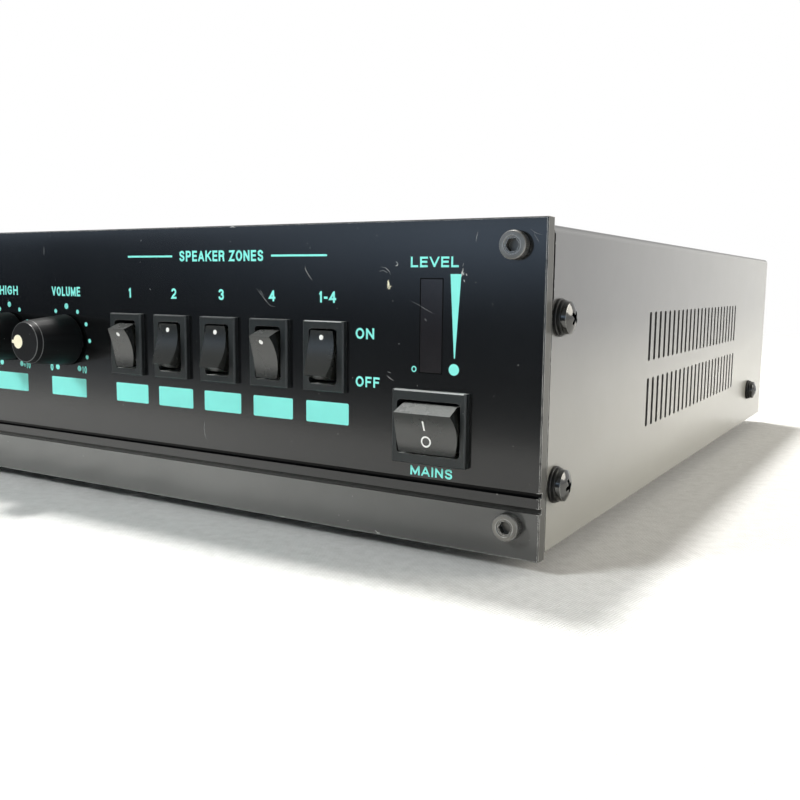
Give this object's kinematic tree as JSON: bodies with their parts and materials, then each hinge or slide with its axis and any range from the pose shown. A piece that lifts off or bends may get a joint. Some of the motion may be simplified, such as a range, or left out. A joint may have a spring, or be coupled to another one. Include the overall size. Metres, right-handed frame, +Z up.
{
  "type": "mixer amplifier",
  "caption": "Half-depth rack-height mixer amplifier: thick front panel with turning knobs, rocker switches, a level window and a vented sheet metal case on feet.",
  "frame": {"origin": "centre of the bounding box on the table, under the feet", "axes": "+X to the viewer's right along the front panel, +Y from the front panel to the rear, +Z up"},
  "size_m": [0.4288, 0.352, 0.0924],
  "materials": {
    "panel_paint": "satin",
    "cover_paint": "satin",
    "zinc_steel": "satin",
    "screw_steel": "satin",
    "black_screw": "gloss",
    "nickel": "polished",
    "bare_aluminium": "satin",
    "foot_rubber": "matte",
    "knob_plastic": "matte",
    "rocker_plastic": "satin",
    "switch_plastic": "satin",
    "smoked_window": "gloss",
    "lamp_plastic": "gloss",
    "board": "satin",
    "capacitor_sleeve": "gloss",
    "core_steel": "satin",
    "winding_tape": "satin"
  },
  "bodies": {
    "case": {"amplifier_board": "board", "board_standoffs": "nickel", "bridge_rectifier": "switch_plastic", "chassis": "zinc_steel", "control_board": "board", "corner_brackets": "zinc_steel", "cover_screws": "black_screw", "feet": "foot_rubber", "filter_capacitors": "capacitor_sleeve", "flat_washers": "black_screw", "foot_screws": "screw_steel", "front_panel": "panel_paint", "front_rail": "zinc_steel", "fuse_cap": "switch_plastic", "fuse_holder": "switch_plastic", "heat_sink": "bare_aluminium", "input_jacks": "switch_plastic", "jack_nuts": "nickel", "mains_inlet": "switch_plastic", "mains_switch_body": "switch_plastic", "mains_transformer_core": "core_steel", "mains_transformer_winding": "winding_tape", "meter_board": "board", "meter_lamps": "lamp_plastic", "meter_window": "smoked_window", "output_transformer_core": "core_steel", "output_transformer_winding": "winding_tape", "panel_screws": "screw_steel", "phono_sockets": "nickel", "potentiometer_nuts": "nickel", "potentiometers": "zinc_steel", "power_transistors": "switch_plastic", "rear_panel": "cover_paint", "speaker_terminals": "switch_plastic", "spring_washers": "black_screw", "terminal_screws": "nickel", "top_cover": "cover_paint", "zone_switch_bodies": "switch_plastic"},
    "input_1_control": {"knob_input_1": "knob_plastic", "shaft_input_1": "bare_aluminium"},
    "input_2_control": {"knob_input_2": "knob_plastic", "shaft_input_2": "bare_aluminium"},
    "input_3_control": {"knob_input_3": "knob_plastic", "shaft_input_3": "bare_aluminium"},
    "input_4_control": {"knob_input_4": "knob_plastic", "shaft_input_4": "bare_aluminium"},
    "input_5_control": {"knob_input_5": "knob_plastic", "shaft_input_5": "bare_aluminium"},
    "low_control": {"knob_low": "knob_plastic", "shaft_low": "bare_aluminium"},
    "high_control": {"knob_high": "knob_plastic", "shaft_high": "bare_aluminium"},
    "volume_control": {"knob_volume": "knob_plastic", "shaft_volume": "bare_aluminium"},
    "zone_1_rocker": {"rocker_zone_1": "rocker_plastic"},
    "zone_2_rocker": {"rocker_zone_2": "rocker_plastic"},
    "zone_3_rocker": {"rocker_zone_3": "rocker_plastic"},
    "zone_4_rocker": {"rocker_zone_4": "rocker_plastic"},
    "zone_all_rocker": {"rocker_zone_all": "rocker_plastic"},
    "mains_rocker": {"rocker_mains": "rocker_plastic"}
  },
  "joints": [
    {"name": "input_1_turn", "type": "hinge", "parent": "case", "child": "input_1_control", "pos_m": [-0.1882, -0.16703, 0.0538], "axis": [0, 1, 0], "range_deg": [0, 300]},
    {"name": "input_2_turn", "type": "hinge", "parent": "case", "child": "input_2_control", "pos_m": [-0.1568, -0.16703, 0.0538], "axis": [0, 1, 0], "range_deg": [0, 300]},
    {"name": "input_3_turn", "type": "hinge", "parent": "case", "child": "input_3_control", "pos_m": [-0.1254, -0.16703, 0.0538], "axis": [0, 1, 0], "range_deg": [0, 300]},
    {"name": "input_4_turn", "type": "hinge", "parent": "case", "child": "input_4_control", "pos_m": [-0.094, -0.16703, 0.0538], "axis": [0, 1, 0], "range_deg": [0, 300]},
    {"name": "input_5_turn", "type": "hinge", "parent": "case", "child": "input_5_control", "pos_m": [-0.0626, -0.16703, 0.0538], "axis": [0, 1, 0], "range_deg": [0, 300]},
    {"name": "low_turn", "type": "hinge", "parent": "case", "child": "low_control", "pos_m": [-0.0312, -0.16703, 0.0538], "axis": [0, 1, 0], "range_deg": [-150, 150]},
    {"name": "high_turn", "type": "hinge", "parent": "case", "child": "high_control", "pos_m": [0.0002, -0.16703, 0.0538], "axis": [0, 1, 0], "range_deg": [-150, 150]},
    {"name": "volume_turn", "type": "hinge", "parent": "case", "child": "volume_control", "pos_m": [0.0316, -0.16703, 0.0538], "axis": [0, 1, 0], "range_deg": [-60, 240]},
    {"name": "zone_1_tilt", "type": "hinge", "parent": "case", "child": "zone_1_rocker", "pos_m": [0.0624, -0.15812, 0.05365], "axis": [-1, 0, 0], "range_deg": [0, 30]},
    {"name": "zone_2_tilt", "type": "hinge", "parent": "case", "child": "zone_2_rocker", "pos_m": [0.08255, -0.15812, 0.05365], "axis": [-1, 0, 0], "range_deg": [-30, 0]},
    {"name": "zone_3_tilt", "type": "hinge", "parent": "case", "child": "zone_3_rocker", "pos_m": [0.1027, -0.15812, 0.05365], "axis": [-1, 0, 0], "range_deg": [-30, 0]},
    {"name": "zone_4_tilt", "type": "hinge", "parent": "case", "child": "zone_4_rocker", "pos_m": [0.12285, -0.15812, 0.05365], "axis": [-1, 0, 0], "range_deg": [0, 30]},
    {"name": "zone_all_tilt", "type": "hinge", "parent": "case", "child": "zone_all_rocker", "pos_m": [0.143, -0.15812, 0.05365], "axis": [-1, 0, 0], "range_deg": [-30, 0]},
    {"name": "mains_tilt", "type": "hinge", "parent": "case", "child": "mains_rocker", "pos_m": [0.17805, -0.15812, 0.036], "axis": [-1, 0, 0], "range_deg": [0, 30]}
  ]
}
